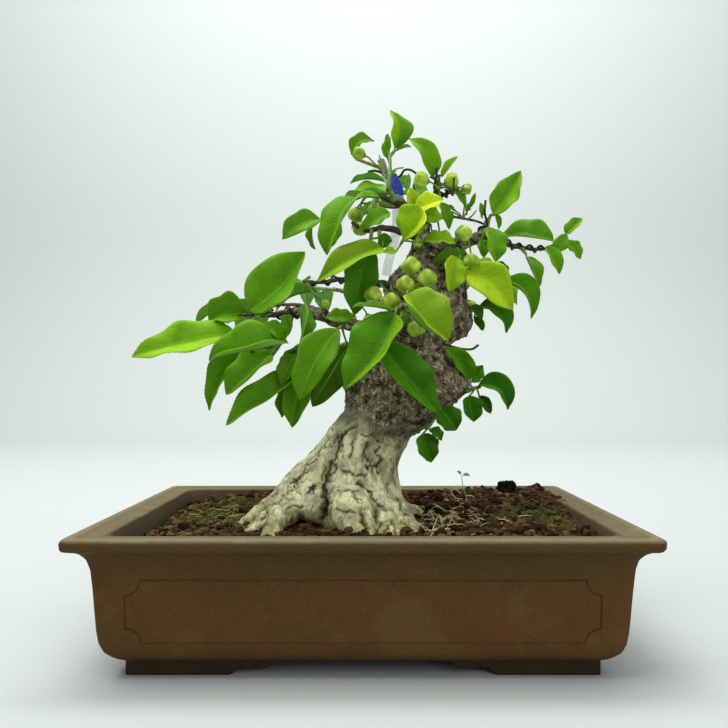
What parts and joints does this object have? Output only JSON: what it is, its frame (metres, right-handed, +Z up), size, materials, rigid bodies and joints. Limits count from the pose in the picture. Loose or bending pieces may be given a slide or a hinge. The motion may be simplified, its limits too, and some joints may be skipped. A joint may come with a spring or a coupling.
{
  "type": "spindle tree bonsai in a pot",
  "caption": "Small spindle tree bonsai with a burled trunk, leafy shoots and pale green fruit, in a rectangular brown clay pot.",
  "frame": {"origin": "middle of the pot's footprint, on the surface that its feet stand on", "axes": "+Z up along the tree, +X along the pot's long side to the right as seen from the front, -Y towards the front"},
  "size_m": [0.24, 0.185, 0.2577],
  "materials": {
    "clay": "matte",
    "soil": "matte",
    "bark": "matte",
    "leaf_dark": "satin",
    "leaf_mid": "satin",
    "leaf_young": "satin",
    "fruit": "satin",
    "wire": "satin",
    "label": "satin",
    "seedling": "satin",
    "drain_mesh": "matte"
  },
  "bodies": {
    "root": {"drain_mesh_left": "drain_mesh", "drain_mesh_right": "drain_mesh", "fruit_back": "fruit", "fruit_back_left": "fruit", "fruit_centre": "fruit", "fruit_front": "fruit", "fruit_left": "fruit", "fruit_left_branch": "fruit", "fruit_limb": "fruit", "fruit_tip": "fruit", "fruit_top": "fruit", "fruit_upper": "fruit", "fruit_upper_left": "fruit", "label": "label", "pot": "clay", "seedling": "seedling", "shoot_back_left": "leaf_mid", "shoot_back_low": "leaf_dark", "shoot_back_right": "leaf_dark", "shoot_back_up": "leaf_mid", "shoot_burl_low": "leaf_dark", "shoot_burl_right": "leaf_dark", "shoot_front": "leaf_dark", "shoot_front_bright": "leaf_young", "shoot_leader": "leaf_mid", "shoot_leader_left": "leaf_mid", "shoot_left_back": "leaf_dark", "shoot_left_dark": "leaf_dark", "shoot_left_end": "leaf_mid", "shoot_left_hanging": "leaf_mid", "shoot_left_inner": "leaf_mid", "shoot_left_low": "leaf_mid", "shoot_left_middle": "leaf_young", "shoot_limb_under": "leaf_mid", "shoot_middle_right": "leaf_young", "shoot_middle_young": "leaf_young", "shoot_right_end": "leaf_mid", "shoot_right_low": "leaf_dark", "shoot_right_side": "leaf_dark", "shoot_right_top": "leaf_mid", "shoot_right_under": "leaf_mid", "shoot_right_young": "leaf_young", "shoot_top_left": "leaf_mid", "shoot_top_middle": "leaf_mid", "shoot_upper_left": "leaf_mid", "soil": "soil", "trunk": "bark", "wire_burl": "wire", "wire_leader": "wire", "wire_left": "wire", "wire_left_middle": "wire", "wire_limb_end": "wire", "wire_right": "wire", "wire_upper_middle": "wire", "wire_upper_right": "wire"}
  },
  "joints": []
}
